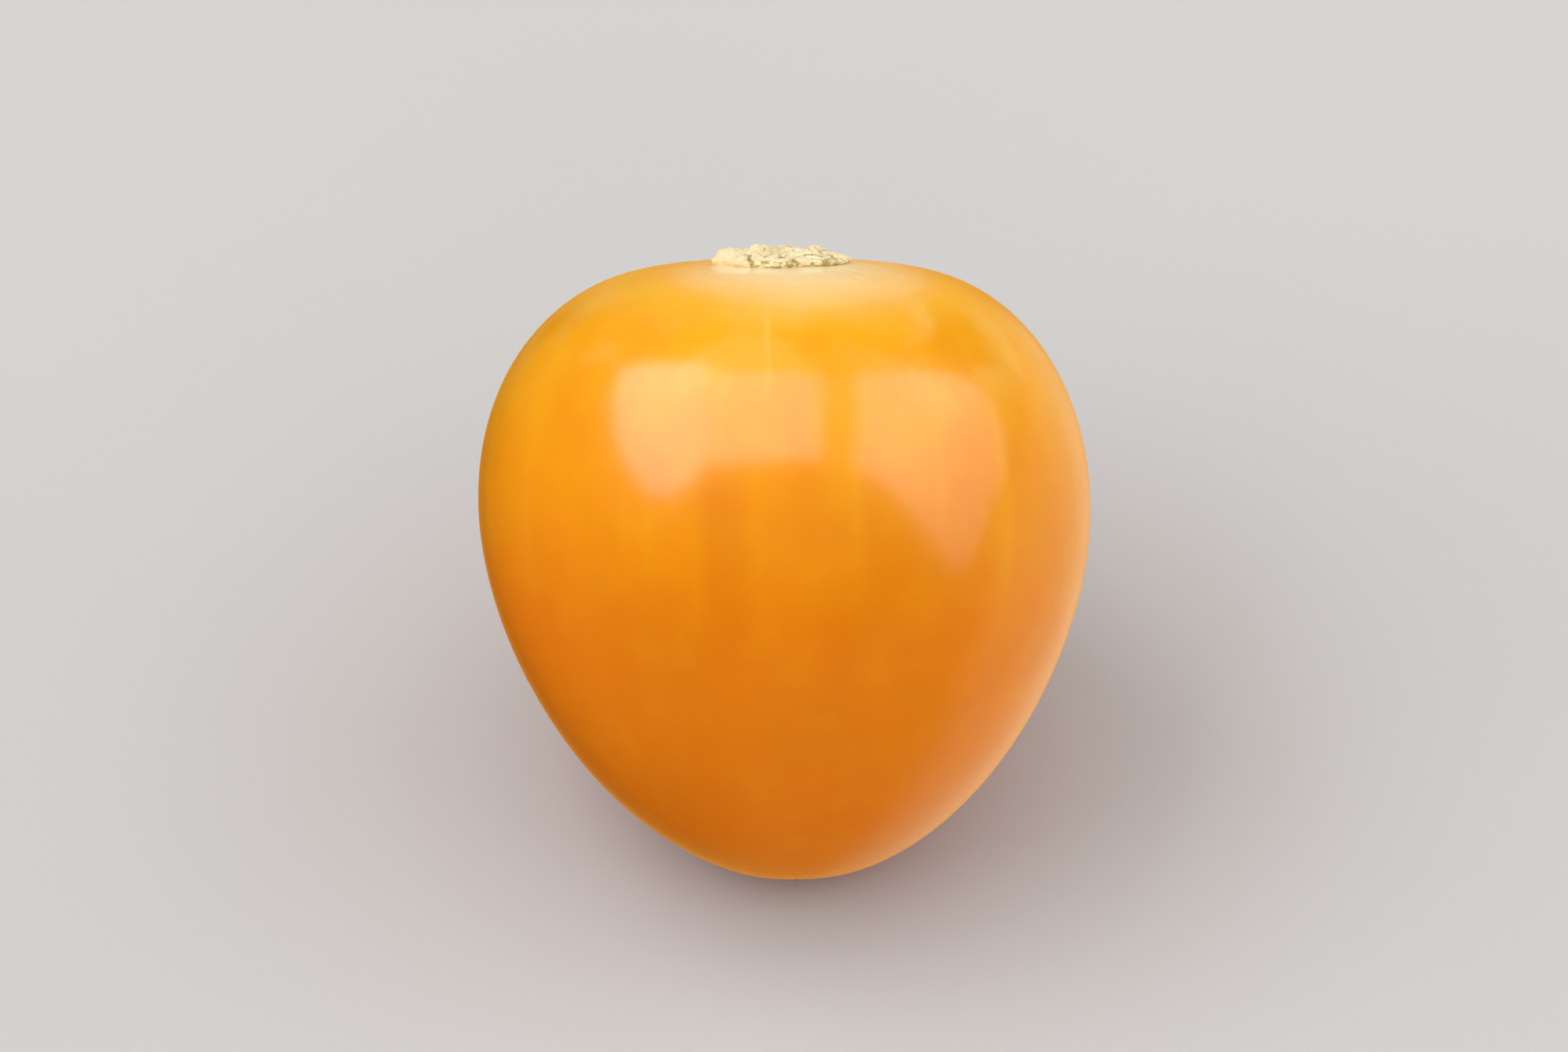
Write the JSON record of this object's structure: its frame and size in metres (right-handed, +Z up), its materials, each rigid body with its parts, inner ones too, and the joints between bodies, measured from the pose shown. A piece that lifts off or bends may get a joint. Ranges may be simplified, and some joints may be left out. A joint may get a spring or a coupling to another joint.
{
  "type": "physalis berry",
  "caption": "Ripe physalis berry out of its husk: a smooth, slightly heart-shaped orange fruit with a corky scar on its crown, lying on a small flat spot.",
  "frame": {"origin": "on the table, under the middle of the berry's box", "axes": "+Z up, -Y towards the side that the berry's blossom end points to, and +Y towards the side that its stem end leans to"},
  "size_m": [0.0192, 0.0196, 0.0194],
  "materials": {
    "fruit_skin": "thin, smooth, waxy skin with a soft gloss over slightly translucent flesh",
    "cork": "dry, crumbly and matt"
  },
  "bodies": {
    "root": {"berry": "fruit_skin", "stem_scar": "cork"}
  },
  "joints": []
}
